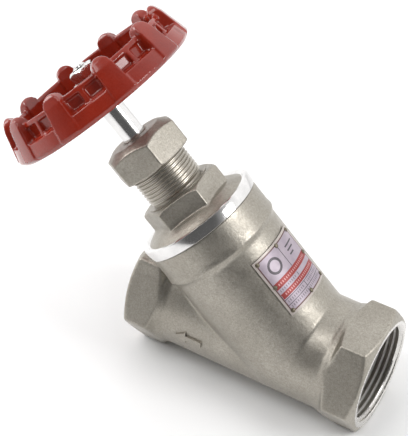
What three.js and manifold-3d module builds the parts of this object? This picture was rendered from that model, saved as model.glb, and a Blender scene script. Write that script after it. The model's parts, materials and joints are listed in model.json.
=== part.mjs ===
// Y-pattern (oblique) globe valve, G 1 1/4 female threaded ends, screwed bonnet, rising stem.
// Millimetres, +Z up. X is the pipe axis: the inlet is at +X and the outlet at -X.
// The stem leans 45 degrees from the pipe towards the outlet, in the XZ plane.
// The origin is the centre of the bounding box's floor, and the valve is drawn closed.
import * as THREE from "three";
import { mergeVertices } from "three/addons/utils/BufferGeometryUtils.js";
import Module from "manifold-3d";

const wasm = await Module();
wasm.setup();

// ---- driving dimensions ----
const GAP = 0.3; // clearance between touching pieces
const SMOOTH = 36; // segments round a large turned surface
const FINE = 20; // segments round a small turned surface

const PIPE = {
  length: 106, // face to face
  barrel: 23, // outer radius between the hexagons
  bore: 16,
  acrossFlats: 48,
  hexLength: 15,
  faceRadius: 22.8, // outer edge of the flat end face
  chamfer: 2.6,
  threadCrest: 19.5, // minor radius of the internal thread
  threadDepth: 1.45,
  threadPitch: 2.309, // 11 threads per inch
  threadLength: 16,
  mouth: 21.2, // countersink at the end face
};
const STEM_ANGLE = Math.PI / 4; // lean of the stem axis from the vertical
const CROSSING = 16; // x of the point where the stem axis crosses the pipe axis

// Heights along the stem axis, from the crossing point.
const SEAT = { height: 4, bore: 14, wall: 4 };
const BRANCH = { radius: 24.3, collar: 25.0, collarStart: 50.5, top: 63.4, chamber: 20.3 };
const BONNET = {
  spigot: 19.8, // thread diameter in the branch, drawn at its mean radius
  bottom: 50,
  flange: 25.6,
  flangeTop: 68.5,
  hexBottom: 70.9,
  hexTop: 79.4,
  acrossFlats: 31,
  hexTurn: -22, // degrees
  neckTop: 101.5,
  neckCrest: 12.2,
  neckPitch: 1.5,
  stemBore: 6.4,
  packingBore: 8.5,
  packingFloor: 84,
};
const GASKET = { inner: 21, outer: 23.3, height: 0.7 };
const PACKING = { count: 4, height: 2.4, outer: 8.2, inner: 5.3 };
const FOLLOWER = { outer: 8.2, collar: 10.6, inner: 5.3, shoulder: 101.8, top: 103.6 };
const PACKING_NUT = {
  acrossFlats: 29,
  hexTurn: -35,
  bottom: 92.8,
  top: 106.2,
  bore: 12.5,
  roof: 103.9,
  stemHole: 5.4,
};
const STEM = {
  radius: 4.9,
  button: 6.5,
  buttonBottom: 18,
  buttonTop: 21,
  neck: 4.6,
  backseat: 7.6,
  backseatBottom: 34,
  backseatTop: 37,
  threadStart: 42,
  threadEnd: 68,
  threadCrest: 6,
  threadDepth: 0.9,
  threadPitch: 3,
  shoulder: 122.5,
  square: 6.8,
  squareTop: 133.5,
  tip: 3,
  tipTop: 141,
};
const DISC = {
  radius: 18,
  skirtBottom: 5.8,
  recess: 16.9,
  faceBottom: 8.6,
  shoulder: 14,
  boss: 10.8,
  top: 25,
  cavity: 8,
  cavityBottom: 17.6,
  studRadius: 4,
  studBottom: -6,
};
const SEAT_DISC = { outer: 16.6, inner: 4.3, bottom: 4.3, top: 8.3 };
const DISC_WASHER = { outer: 9, inner: 4.3, bottom: 2.4, top: 4 };
const DISC_NUT = { acrossFlats: 13, bore: 4.3, bottom: -4.4, top: 2.1 };
const COLLAR = { outer: 7.7, inner: 5, acrossFlats: 19, bottom: 21.4, step: 25.3, top: 29 };
const WHEEL = {
  bottom: 124.4,
  height: 14,
  outer: 40.8, // at the bottom
  taper: 0.25, // radius lost for each millimetre of height
  inner: 33.8,
  recess: 2, // depth of the pockets between the lobes
  lobes: 10,
  firstLobe: -28.5, // degrees
  lobeTopWidth: 7.6,
  lobeFootWidth: 9.8,
  lobeHeight: 17.6,
  lobeInner: 32.4,
  lobeOuter: 41.3,
  pocketHalf: 13, // degrees
  pocketBottom: 6.9,
  cellTurn: 7.4, // degrees from the pocket's middle
  cellWidth: 7.2,
  cellBottom: 7.5,
  cellTop: 12.1,
  cellInner: 34.7, // radius of the bottom of the blind cells
  webBottom: 1.2,
  webTop: 4.6,
  openInner: 14,
  openOuter: 31.4,
  openHalf: 30, // degrees
  hub: 9,
  hubBottom: -1.6,
  hubTop: 9.8,
  hole: 7.4,
};
const WHEEL_WASHER = { outer: 6.4, inner: 3.3, bottom: 134.5, top: 135.4 };
const WHEEL_NUT = { acrossFlats: 10, bore: 3.3, bottom: 135.7, top: 139.9 };
const PLATE = { bottom: 17.5, top: 43.5, halfTurn: 30.5, thickness: 0.4 };
const RIVET = { radius: 0.95, proud: 0.55, depth: 1.5, inset: 1.6 };
const ARROW = { x: -22, length: 12, width: 3, head: 6.4, proud: 0.45 };

// ---- materials ----
const finish = (color, roughness, metalness) =>
  new THREE.MeshStandardMaterial({ color, roughness, metalness });
const CAST = finish(0xa39b90, 0.55, 0.9);
const TURNED = finish(0xc4c2bd, 0.25, 1.0);
const RED = finish(0xa02a1e, 0.25, 0.1);
const SEAL = finish(0xeeeae0, 0.6, 0.0);
const PLATE_METAL = finish(0xd7d3de, 0.35, 0.5);

// ---- geometry helpers ----
const rad = THREE.MathUtils.degToRad;

// A closed three.js geometry as a solid, with its faces turned outwards.
function solid(geometry) {
  const bare = geometry.clone();
  bare.deleteAttribute("normal");
  bare.deleteAttribute("uv");
  const merged = mergeVertices(bare, 1e-4);
  const index = merged.index.array;
  const faces = [];
  for (let i = 0; i < index.length; i += 3) {
    const [a, b, c] = [index[i], index[i + 1], index[i + 2]];
    if (a !== b && b !== c && c !== a) faces.push([a, b, c]);
  }
  const place = merged.attributes.position;
  const corner = (i) => new THREE.Vector3().fromBufferAttribute(place, i);
  const sixVolume = faces.reduce(
    (sum, [a, b, c]) => sum + corner(a).dot(corner(b).cross(corner(c))),
    0,
  );
  const turned = sixVolume < 0 ? faces.map(([a, b, c]) => [a, c, b]) : faces;
  const vertProperties = new Float32Array(place.array);
  const triVerts = new Uint32Array(turned.flat());
  return new wasm.Manifold(new wasm.Mesh({ numProp: 3, vertProperties, triVerts }));
}

// A solid as a named mesh.
function piece(name, shape, material) {
  const mesh = shape.getMesh();
  const geometry = new THREE.BufferGeometry();
  geometry.setAttribute("position", new THREE.BufferAttribute(mesh.vertProperties, 3));
  geometry.setIndex(new THREE.BufferAttribute(mesh.triVerts, 1));
  geometry.computeVertexNormals();
  const made = new THREE.Mesh(geometry, material);
  made.name = name;
  return made;
}

// A solid turned about Z, from [radius, height] points that start and end on the axis.
function turnedRod(points, segments = SMOOTH) {
  const profile = points.map(([radius, height]) => new THREE.Vector2(radius, height));
  return solid(new THREE.LatheGeometry(profile, segments).rotateX(Math.PI / 2));
}

// A ring turned about Z, from [radius, height] points that close on themselves.
const turnedRing = (points, segments = SMOOTH) => turnedRod([...points, points[0]], segments);

const cylinder = (radius, bottom, top, segments = SMOOTH) =>
  turnedRod([[0, bottom], [radius, bottom], [radius, top], [0, top]], segments);

const ring = (inner, outer, bottom, top, segments = SMOOTH) =>
  turnedRing([[inner, bottom], [outer, bottom], [outer, top], [inner, top]], segments);

function extruded(shape, bottom, top) {
  const options = { depth: top - bottom, bevelEnabled: false, curveSegments: 5 };
  return solid(new THREE.ExtrudeGeometry(shape, options).translate(0, 0, bottom));
}

// A hexagonal prism about Z with one corner at the angle turn, in degrees.
function hexagon(acrossFlats, bottom, top, turn = 0) {
  const radius = acrossFlats / Math.sqrt(3);
  const shape = new THREE.Shape();
  for (let k = 0; k < 6; k++) {
    const angle = rad(turn + 60 * k);
    const [x, y] = [radius * Math.cos(angle), radius * Math.sin(angle)];
    if (k) shape.lineTo(x, y);
    else shape.moveTo(x, y);
  }
  shape.closePath();
  return extruded(shape, bottom, top);
}

const box = (width, depth, height, x, y, z) =>
  solid(new THREE.BoxGeometry(width, depth, height).translate(x, y, z));

// A sector of a ring, between two angles in degrees.
function sector(inner, outer, from, to, bottom, top) {
  const shape = new THREE.Shape();
  shape.absarc(0, 0, outer, rad(from), rad(to), false);
  shape.absarc(0, 0, inner, rad(to), rad(from), true);
  shape.closePath();
  return extruded(shape, bottom, top);
}

// A rod with a right-hand V thread: a grid of points whose rows follow the helix's root and crest.
// Past either end of the thread the rows gather on the end face's rim.
function threadedRod(crest, depth, pitch, bottom, top, segments) {
  const root = crest - depth;
  const profile = [root, crest];
  const rows = 2 * (Math.ceil((top - bottom) / pitch) + 2);
  const positions = [0, 0, bottom, 0, 0, top];
  for (let i = 0; i <= segments; i++) {
    const angle = (2 * Math.PI * i) / segments;
    for (let j = 0; j < rows; j++) {
      const height = bottom - 0.01 + (j / 2 + i / segments - 1) * pitch;
      const inside = height > bottom && height < top;
      const radius = inside ? profile[j % 2] : root;
      const clamped = Math.min(Math.max(height, bottom), top);
      positions.push(radius * Math.cos(angle), radius * Math.sin(angle), clamped);
    }
  }
  const at = (i, j) => 2 + i * rows + j;
  const faces = [];
  for (let i = 0; i < segments; i++) {
    faces.push(0, at(i + 1, 0), at(i, 0), 1, at(i, rows - 1), at(i + 1, rows - 1));
    for (let j = 0; j < rows - 1; j++) {
      faces.push(at(i, j), at(i + 1, j), at(i + 1, j + 1));
      faces.push(at(i, j), at(i + 1, j + 1), at(i, j + 1));
    }
  }
  const geometry = new THREE.BufferGeometry();
  geometry.setAttribute("position", new THREE.Float32BufferAttribute(positions, 3));
  geometry.setIndex(faces);
  return solid(geometry);
}

const joined = (shapes) => shapes.reduce((whole, shape) => whole.add(shape));
const cutBy = (shape, tools) => tools.reduce((rest, tool) => rest.subtract(tool), shape);

// Turns a solid made about Z onto the pipe axis, with its top towards +X.
const alongPipe = (shape) => shape.rotate([0, 90, 0]);

// Moves a solid made in the stem's frame into the pipe's frame.
const alongStem = (shape) =>
  shape.rotate([0, -THREE.MathUtils.radToDeg(STEM_ANGLE), 0]).translate([CROSSING, 0, 0]);

// ---- body ----
// One hexagonal end about Z, its outer face at the height half the pipe's length.
function hexEnd() {
  const face = PIPE.length / 2;
  const back = face - PIPE.hexLength;
  const corner = PIPE.acrossFlats / Math.sqrt(3) + 0.3;
  const envelope = turnedRod([
    [0, back - 3],
    [PIPE.barrel, back - 3],
    [PIPE.barrel + 0.9, back],
    [corner, back + PIPE.chamfer],
    [corner, face - PIPE.chamfer],
    [PIPE.faceRadius, face],
    [0, face],
  ]);
  const flare = turnedRod([
    [0, back - 3],
    [PIPE.barrel, back - 3],
    [PIPE.barrel + 0.9, back + 0.6],
    [0, back + 0.6],
  ]);
  return hexagon(PIPE.acrossFlats, back - 1, face, 30).intersect(envelope).add(flare);
}

// The threaded socket and its countersink, as the space they take out of one end.
function socket() {
  const face = PIPE.length / 2;
  const floor = face - PIPE.threadLength;
  const crest = PIPE.threadCrest + PIPE.threadDepth;
  const { threadDepth, threadPitch, mouth } = PIPE;
  const thread = threadedRod(crest, threadDepth, threadPitch, floor, face + 1, FINE);
  const countersink = turnedRod([
    [0, face - 1.8],
    [PIPE.threadCrest, face - 1.8],
    [mouth, face],
    [mouth, face + 2],
    [0, face + 2],
  ]);
  const relief = turnedRod([
    [0, floor - 4],
    [PIPE.bore, floor - 4],
    [PIPE.threadCrest + 1.6, floor - 1],
    [PIPE.threadCrest + 1.6, floor + 1.5],
    [0, floor + 1.5],
  ]);
  return joined([thread, countersink, relief]);
}

// The half space below a plane across the stem axis, kept to the inlet's side of the partition.
const belowSeat = (height, side) => alongStem(box(200, 80, 100, 100 - side, 0, height - 50));

function flowPassages() {
  const reach = PIPE.length / 2;
  const inletBore = alongPipe(cylinder(PIPE.bore, -20, reach));
  const inlet = inletBore.intersect(belowSeat(SEAT.height - SEAT.wall, PIPE.bore));
  const outletBore = alongPipe(cylinder(PIPE.bore, -reach, CROSSING));
  const partition = belowSeat(SEAT.height, PIPE.bore + SEAT.wall);
  const outlet = outletBore.subtract(partition);
  const chamber = alongStem(cylinder(BRANCH.chamber, SEAT.height, BRANCH.top + 2));
  const seatBore = alongStem(cylinder(SEAT.bore, SEAT.height - SEAT.wall - 8, SEAT.height + 1));
  const seatHole = seatBore.intersect(alongStem(box(60, 60, 14, 0, 0, SEAT.height - 2)));
  return [inlet, outlet, chamber, seatHole];
}

// The raised flow arrow on the near side, pointing from the inlet to the outlet.
function flowArrow() {
  const tip = -ARROW.length / 2;
  const neck = tip + ARROW.head * 0.75;
  const shape = new THREE.Shape();
  shape.moveTo(tip, 0);
  shape.lineTo(neck, ARROW.head / 2);
  shape.lineTo(neck, ARROW.width / 2);
  shape.lineTo(-tip, ARROW.width / 2);
  shape.lineTo(-tip, -ARROW.width / 2);
  shape.lineTo(neck, -ARROW.width / 2);
  shape.lineTo(neck, -ARROW.head / 2);
  shape.closePath();
  const slab = extruded(shape, PIPE.barrel - 4, PIPE.barrel + 4).rotate([90, 0, 0]);
  const skin = alongPipe(cylinder(PIPE.barrel + ARROW.proud, -60, 60));
  return slab.translate([ARROW.x, 0, 0]).intersect(skin);
}

function bodyCasting() {
  const barrelEnd = PIPE.length / 2 - PIPE.hexLength;
  const barrel = cylinder(PIPE.barrel, -barrelEnd, barrelEnd);
  const pipe = joined([barrel, hexEnd(), hexEnd().mirror([0, 0, 1])]);
  const { radius, collar, collarStart, top } = BRANCH;
  const branch = turnedRod([
    [0, SEAT.height],
    [radius, SEAT.height],
    [radius, collarStart],
    [collar + 0.5, collarStart + 1.6],
    [collar, collarStart + 3],
    [collar, top - 0.4],
    [collar - 0.4, top],
    [0, top],
  ]);
  const globe = solid(new THREE.SphereGeometry(radius, FINE, 10));
  const bulge = globe.rotate([90, 0, 0]).translate([0, 0, SEAT.height]);
  const outside = joined([alongPipe(pipe), alongStem(branch), alongStem(bulge), flowArrow()]);
  const inletSocket = alongPipe(socket());
  const outletSocket = alongPipe(socket().rotate([180, 0, 0]));
  const rivetHoles = rivetPlaces().map((place) =>
    alongStem(onBranch(cylinder(RIVET.radius + GAP, -RIVET.depth - 0.8, 3, 10), place)),
  );
  return cutBy(outside, [...flowPassages(), inletSocket, outletSocket, ...rivetHoles]);
}

// ---- nameplate ----
// Moves a solid made about Z onto the branch, its Z pointing out of the surface.
function onBranch(shape, { height, turn }) {
  const out = shape.translate([0, 0, BRANCH.radius]).rotate([0, 90, 0]);
  return out.rotate([0, 0, turn]).translate([0, 0, height]);
}

// The eight rivets: one at each corner of the plate and one at the middle of each side.
function rivetPlaces() {
  const { bottom, top, halfTurn } = PLATE;
  const middle = (bottom + top) / 2;
  const insetTurn = THREE.MathUtils.radToDeg(RIVET.inset / BRANCH.radius);
  const side = halfTurn - insetTurn;
  const [low, high] = [bottom + RIVET.inset, top - RIVET.inset];
  return [
    [low, -side], [low, 0], [low, side], [middle, side],
    [high, side], [high, 0], [high, -side], [middle, -side],
  ].map(([height, turn]) => ({ height, turn }));
}

function nameplate() {
  const { bottom, top, halfTurn, thickness } = PLATE;
  const inner = BRANCH.radius + GAP;
  const plate = sector(inner, inner + thickness, -halfTurn, halfTurn, bottom, top);
  const holes = rivetPlaces().map((place) =>
    onBranch(cylinder(RIVET.radius + GAP, -2, 3, 10), place),
  );
  return cutBy(plate, holes);
}

function rivet(place) {
  const flushTop = GAP + PLATE.thickness + RIVET.proud;
  const shank = turnedRod(
    [
      [0, -RIVET.depth],
      [RIVET.radius, -RIVET.depth],
      [RIVET.radius, flushTop - 0.3],
      [RIVET.radius * 0.6, flushTop],
      [0, flushTop],
    ],
    10,
  );
  return onBranch(shank, place);
}

// ---- bonnet and its packing ----
function bonnet() {
  const b = BONNET;
  const outside = turnedRod([
    [0, b.bottom],
    [b.spigot - 1.2, b.bottom],
    [b.spigot, b.bottom + 1.2],
    [b.spigot, BRANCH.top + GAP],
    [b.flange, BRANCH.top + GAP],
    [b.flange, b.flangeTop - 0.4],
    [b.flange - 0.4, b.flangeTop],
    [b.flange - 1.6, b.flangeTop],
    [b.flange - 2.6, b.flangeTop - 0.5],
    [b.acrossFlats / Math.sqrt(3), b.hexBottom + 0.2],
    [b.acrossFlats / 2 - 1, b.hexBottom + 0.2],
    [0, b.hexBottom + 0.2],
  ]);
  const corner = b.acrossFlats / Math.sqrt(3);
  const land = b.acrossFlats / 2 - 0.6;
  const hexEnvelope = turnedRod([
    [0, b.hexBottom - 1],
    [corner + 0.2, b.hexBottom - 1],
    [corner + 0.2, b.hexTop - 1],
    [land + 0.4, b.hexTop],
    [0, b.hexTop],
  ]);
  const hex = hexagon(b.acrossFlats, b.hexBottom - 1, b.hexTop, b.hexTurn).intersect(hexEnvelope);
  const rootRadius = b.neckCrest - 0.8;
  const relief = cylinder(rootRadius, b.hexTop - 1, b.hexTop + 1.2);
  const thread = threadedRod(b.neckCrest, 0.8, b.neckPitch, b.hexTop + 0.9, b.neckTop, FINE);
  const recess = ring(
    GASKET.inner - GAP,
    GASKET.outer + GAP,
    BRANCH.top,
    BRANCH.top + GAP + GASKET.height + GAP,
  );
  const bore = cylinder(b.stemBore, b.bottom - 1, b.neckTop + 1, FINE);
  const packingBore = cylinder(b.packingBore, b.packingFloor, b.neckTop + 1, FINE);
  return cutBy(joined([outside, hex, relief, thread]), [recess, bore, packingBore]);
}

function bonnetGasket() {
  const bottom = BRANCH.top + GAP;
  return ring(GASKET.inner, GASKET.outer, bottom, bottom + GASKET.height);
}

function packingRing(k) {
  const bottom = BONNET.packingFloor + GAP + k * (PACKING.height + GAP);
  return ring(PACKING.inner, PACKING.outer, bottom, bottom + PACKING.height, FINE);
}

function packingFollower() {
  const f = FOLLOWER;
  const stack = PACKING.count * (PACKING.height + GAP);
  const bottom = BONNET.packingFloor + GAP + stack;
  return turnedRing(
    [
      [f.inner, bottom],
      [f.outer, bottom],
      [f.outer, f.shoulder],
      [f.collar, f.shoulder],
      [f.collar, f.top],
      [f.inner, f.top],
    ],
    FINE,
  );
}

function packingNut() {
  const n = PACKING_NUT;
  const corner = n.acrossFlats / Math.sqrt(3) + 0.2;
  const envelope = turnedRod([
    [0, n.bottom],
    [n.acrossFlats / 2 + 0.2, n.bottom],
    [corner, n.bottom + 1],
    [corner, n.top - 4.2],
    [n.acrossFlats / 2 - 4, n.top],
    [0, n.top],
  ]);
  const hex = hexagon(n.acrossFlats, n.bottom, n.top, n.hexTurn).intersect(envelope);
  const bore = cylinder(n.bore, n.bottom - 1, n.roof, 36);
  const hole = cylinder(n.stemHole, n.bottom, n.top + 1, FINE);
  return cutBy(hex, [bore, hole]);
}

// ---- stem and disc ----
function stem() {
  const s = STEM;
  const lower = turnedRod(
    [
      [0, s.buttonBottom],
      [s.button - 0.6, s.buttonBottom],
      [s.button, s.buttonBottom + 0.6],
      [s.button, s.buttonTop],
      [s.neck, s.buttonTop],
      [s.neck, s.backseatBottom],
      [s.backseat, s.backseatBottom],
      [s.backseat, s.backseatTop - 1.8],
      [s.threadCrest - s.threadDepth, s.backseatTop],
      [s.threadCrest - s.threadDepth, s.threadStart + 0.5],
      [0, s.threadStart + 0.5],
    ],
    FINE,
  );
  const { threadCrest, threadDepth, threadPitch, threadStart, threadEnd } = s;
  const thread = threadedRod(threadCrest, threadDepth, threadPitch, threadStart, threadEnd, FINE);
  const upper = cylinder(s.radius, s.threadEnd - 0.5, s.shoulder, FINE);
  const squareHeight = s.squareTop - s.shoulder;
  const squareMiddle = (s.squareTop + s.shoulder) / 2;
  const square = box(s.square, s.square, squareHeight + 0.2, 0, 0, squareMiddle);
  const tip = turnedRod(
    [
      [0, s.squareTop - 0.5],
      [s.tip, s.squareTop - 0.5],
      [s.tip, s.tipTop - 0.5],
      [s.tip - 0.5, s.tipTop],
      [0, s.tipTop],
    ],
    16,
  );
  return joined([lower, thread, upper, square, tip]);
}

function discHolder() {
  const d = DISC;
  const outside = turnedRod(
    [
      [0, d.studBottom],
      [d.studRadius - 0.5, d.studBottom],
      [d.studRadius, d.studBottom + 0.5],
      [d.studRadius, d.faceBottom],
      [d.recess, d.faceBottom],
      [d.recess, d.skirtBottom],
      [d.radius, d.skirtBottom],
      [d.radius, d.shoulder - 1.5],
      [d.radius - 1.5, d.shoulder],
      [d.boss, d.shoulder + 1.2],
      [d.boss, d.top],
      [0, d.top],
    ],
    36,
  );
  return outside.subtract(cylinder(d.cavity, d.cavityBottom, d.top + 1, 36));
}

function discNut() {
  const n = DISC_NUT;
  const hex = hexagon(n.acrossFlats, n.bottom, n.top);
  return hex.subtract(cylinder(n.bore, n.bottom - 1, n.top + 1, FINE));
}

function discCollar() {
  const c = COLLAR;
  const spigot = cylinder(c.outer, c.bottom, c.step + 0.1, FINE);
  const head = hexagon(c.acrossFlats, c.step, c.top);
  return spigot.add(head).subtract(cylinder(c.inner, c.bottom - 1, c.top + 1, FINE));
}

// ---- handwheel ----
const lobeTurn = (k) => WHEEL.firstLobe + (360 / WHEEL.lobes) * k;
const pocketTurn = (k) => lobeTurn(k) + 180 / WHEEL.lobes;

// One finger lobe: an upright arch, wider at its foot, that runs outwards along the radius.
function lobe(k) {
  const half = WHEEL.lobeTopWidth / 2;
  const foot = WHEEL.lobeFootWidth / 2;
  const shape = new THREE.Shape();
  shape.moveTo(-foot, 0);
  shape.lineTo(foot, 0);
  shape.lineTo(half, WHEEL.lobeHeight - half);
  shape.absarc(0, WHEEL.lobeHeight - half, half, 0, Math.PI, false);
  shape.closePath();
  const arch = extruded(shape, WHEEL.lobeInner - 2, WHEEL.lobeOuter + 2);
  return arch.rotate([90, 0, 90]).rotate([0, 0, lobeTurn(k)]);
}

// The space inside which the lobes stay, with its edges rounded.
function lobeEnvelope() {
  const { lobeInner, lobeOuter, lobeHeight, taper } = WHEEL;
  const top = lobeOuter - taper * lobeHeight;
  return turnedRing([
    [lobeInner, 0],
    [lobeOuter - 1.4, 0],
    [lobeOuter, 1.8],
    [top + 1.2, lobeHeight - 4],
    [top - 0.2, lobeHeight - 1.2],
    [top - 1.4, lobeHeight],
    [lobeInner + 1.8, lobeHeight],
    [lobeInner + 0.6, lobeHeight - 1.4],
    [lobeInner, lobeHeight - 4.5],
  ]);
}

// A pocket between two lobes, with two blind cells side by side in its floor.
function pocketCuts(k) {
  const w = WHEEL;
  const turn = pocketTurn(k);
  const above = w.height + 1;
  const floor = w.outer - w.recess;
  const core = turnedRod([[0, 0], [floor, 0], [floor - w.taper * above, above], [0, above]]);
  const [from, to] = [turn - w.pocketHalf, turn + w.pocketHalf];
  const recess = sector(w.inner, w.outer + 3, from, to, w.pocketBottom, above).subtract(core);
  const depth = w.outer - w.cellInner;
  const middleRadius = (w.outer + w.cellInner) / 2;
  const middleHeight = (w.cellTop + w.cellBottom) / 2;
  const cells = [-w.cellTurn, w.cellTurn].map((offset) =>
    box(depth, w.cellWidth, w.cellTop - w.cellBottom, middleRadius, 0, middleHeight).rotate([
      0,
      0,
      turn + offset,
    ]),
  );
  return [recess, ...cells];
}

function handwheel() {
  const w = WHEEL;
  const top = w.outer - w.taper * w.height;
  const rim = turnedRing([
    [w.inner, 0],
    [w.outer - 1.2, 0],
    [w.outer, 1.6],
    [top + 0.1, w.height - 1],
    [top - 0.8, w.height],
    [w.inner + 0.6, w.height],
    [w.inner, w.height - 0.8],
  ]);
  const count = [...Array(w.lobes).keys()];
  const lobes = joined(count.map(lobe)).intersect(lobeEnvelope());
  const web = cylinder(w.inner + 1, w.webBottom, w.webTop);
  const openings = [0, 90, 180, 270].map((turn) =>
    sector(w.openInner, w.openOuter, turn - w.openHalf, turn + w.openHalf, -3, w.webTop + 3),
  );
  const spokes = cutBy(web, openings);
  const hub = turnedRod(
    [
      [0, w.hubBottom],
      [w.hub - 0.8, w.hubBottom],
      [w.hub, w.hubBottom + 0.8],
      [w.hub, w.hubTop - 0.8],
      [w.hub - 0.8, w.hubTop],
      [0, w.hubTop],
    ],
    36,
  );
  const hole = box(w.hole, w.hole, 40, 0, 0, 0);
  const pocketed = cutBy(rim, count.flatMap(pocketCuts));
  return cutBy(joined([pocketed, lobes, spokes, hub]), [hole]).translate([0, 0, w.bottom]);
}

function wheelNut() {
  const n = WHEEL_NUT;
  const corner = n.acrossFlats / Math.sqrt(3) + 0.1;
  const envelope = turnedRod([
    [0, n.bottom],
    [corner, n.bottom],
    [corner, n.top - 0.7],
    [n.acrossFlats / 2 - 0.3, n.top],
    [0, n.top],
  ]);
  const hex = hexagon(n.acrossFlats, n.bottom, n.top, 10).intersect(envelope);
  return hex.subtract(cylinder(n.bore, n.bottom - 1, n.top + 1, 16));
}

// ---- assembly ----
function alongStemPieces() {
  const { outer, inner, bottom, top } = SEAT_DISC;
  const dw = DISC_WASHER;
  const ww = WHEEL_WASHER;
  const rings = [...Array(PACKING.count).keys()];
  return [
    piece("bonnet", bonnet(), CAST),
    piece("bonnet_gasket", bonnetGasket(), SEAL),
    ...rings.map((k) => piece(`packing_ring_${k + 1}`, packingRing(k), SEAL)),
    piece("packing_follower", packingFollower(), TURNED),
    piece("packing_nut", packingNut(), CAST),
    piece("stem", stem(), TURNED),
    piece("disc_holder", discHolder(), TURNED),
    piece("seat_disc", ring(inner, outer, bottom, top, 36), SEAL),
    piece("disc_washer", ring(dw.inner, dw.outer, dw.bottom, dw.top, FINE), TURNED),
    piece("disc_nut", discNut(), TURNED),
    piece("disc_collar", discCollar(), TURNED),
    piece("handwheel", handwheel(), RED),
    piece("wheel_washer", ring(ww.inner, ww.outer, ww.bottom, ww.top, FINE), TURNED),
    piece("wheel_nut", wheelNut(), TURNED),
    piece("nameplate", nameplate(), PLATE_METAL),
    ...rivetPlaces().map((place, k) => piece(`nameplate_rivet_${k + 1}`, rivet(place), TURNED)),
  ];
}

const stemFrame = new THREE.Group();
stemFrame.position.set(CROSSING, 0, 0);
stemFrame.rotation.y = -STEM_ANGLE;
stemFrame.add(...alongStemPieces());

const valve = new THREE.Group();
valve.add(piece("body_casting", bodyCasting(), CAST), stemFrame);

// The valve stands on the lower flats of its hexagons, centred over the origin.
const extent = new THREE.Box3().setFromObject(valve, true);
const middle = extent.getCenter(new THREE.Vector3());
valve.position.set(-middle.x, -middle.y, -extent.min.z);

const assembly = new THREE.Group();
assembly.add(valve);

export default assembly;
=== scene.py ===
"""The looks of a Y-pattern globe valve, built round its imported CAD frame.

The CAD nodes that show are replaced by finer pieces: cast parts with rounded edges and fillets,
real helical threads, a thickly enamelled handwheel and a printed nameplate.
Shapes are made in millimetres, in the pipe's frame (X along the pipe) or in the stem's frame
(Z along the stem), and are then placed in the row's frame in metres.
"""

import json
import math

import bmesh
import bpy
from mathutils import Matrix, Vector


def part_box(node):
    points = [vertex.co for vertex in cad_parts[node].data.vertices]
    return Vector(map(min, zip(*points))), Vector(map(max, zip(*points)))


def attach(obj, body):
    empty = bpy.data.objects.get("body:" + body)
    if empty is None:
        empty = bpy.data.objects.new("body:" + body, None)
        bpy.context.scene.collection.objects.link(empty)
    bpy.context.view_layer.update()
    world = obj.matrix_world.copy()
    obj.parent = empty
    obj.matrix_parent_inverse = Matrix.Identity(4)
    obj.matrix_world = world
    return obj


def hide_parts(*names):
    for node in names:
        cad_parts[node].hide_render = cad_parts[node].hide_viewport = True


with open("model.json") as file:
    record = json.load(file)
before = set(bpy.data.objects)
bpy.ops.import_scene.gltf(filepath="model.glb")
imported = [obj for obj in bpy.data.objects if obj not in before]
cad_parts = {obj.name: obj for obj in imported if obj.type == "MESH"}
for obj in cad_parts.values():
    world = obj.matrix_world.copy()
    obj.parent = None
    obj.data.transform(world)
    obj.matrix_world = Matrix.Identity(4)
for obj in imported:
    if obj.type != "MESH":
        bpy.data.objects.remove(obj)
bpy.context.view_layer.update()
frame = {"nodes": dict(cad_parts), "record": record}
NODES = frame["nodes"]
JOINTS = {joint["name"]: joint for joint in frame["record"]["behaviour"]["joints"]}

MM = 0.001

# ---- dimensions, in millimetres ----
PIPE_LENGTH = 106.0
PIPE_RADIUS = 23.0
PIPE_BORE = 16.0
PIPE_FLATS = 48.0
HEX_LENGTH = 15.0
HEX_CHAMFER = 2.6
FACE_RADIUS = 22.8
SOCKET_MINOR = 19.5
SOCKET_DEPTH = 1.45
SOCKET_PITCH = 2.309
SOCKET_LENGTH = 16.0
MOUTH_RADIUS = 21.2
CROSSING = 16.0  # from the pipe's middle to the point where the stem axis crosses it

SEAT_HEIGHT = 4.0
SEAT_WALL = 4.0
SEAT_BORE = 14.0
BRANCH_RADIUS = 24.3
COLLAR_RADIUS = 25.0
COLLAR_START = 50.5
BRANCH_TOP = 63.4
CHAMBER_RADIUS = 20.3

GAP = 0.3
BONNET_BOTTOM = 50.0
BONNET_SPIGOT = 19.8
FLANGE_RADIUS = 25.6
FLANGE_TOP = 68.5
BONNET_HEX_BOTTOM = 70.9
BONNET_HEX_TOP = 79.4
BONNET_FLATS = 31.0
BONNET_TURN = -22.0
NECK_TOP = 101.5
NECK_CREST = 12.2
NECK_PITCH = 1.5
NECK_DEPTH = 0.85
STEM_BORE = 6.4
PACKING_BORE = 8.5
PACKING_FLOOR = 84.0

NUT_FLATS = 29.0
NUT_TURN = -35.0
NUT_BOTTOM = 92.8
NUT_TOP = 106.2
NUT_BORE = 12.5
NUT_ROOF = 103.9
NUT_HOLE = 5.4

WHEEL_BOTTOM = 124.4
WHEEL_HEIGHT = 14.0
WHEEL_OUTER = 40.8
WHEEL_TAPER = 0.25  # radius lost for each millimetre of height
WHEEL_INNER = 33.8
POCKET_DEPTH = 2.0
LOBES = 10
FIRST_LOBE = -28.5
LOBE_TOP_WIDTH = 7.6
LOBE_FOOT_WIDTH = 9.8
LOBE_HEIGHT = 17.6
LOBE_INNER = 32.4
LOBE_OUTER = 41.3
POCKET_HALF = 13.0
POCKET_BOTTOM = 6.9
CELL_TURN = 7.4
CELL_WIDTH = 7.2
CELL_BOTTOM = 7.5
CELL_TOP = 12.1
CELL_INNER = 34.7
WEB_BOTTOM = 1.2
WEB_TOP = 4.6
OPEN_INNER = 14.0
OPEN_OUTER = 31.4
OPEN_HALF = 30.0
HUB_RADIUS = 9.0
HUB_BOTTOM = -1.6
HUB_TOP = 9.8
STEM_SHOULDER = 122.5

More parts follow.
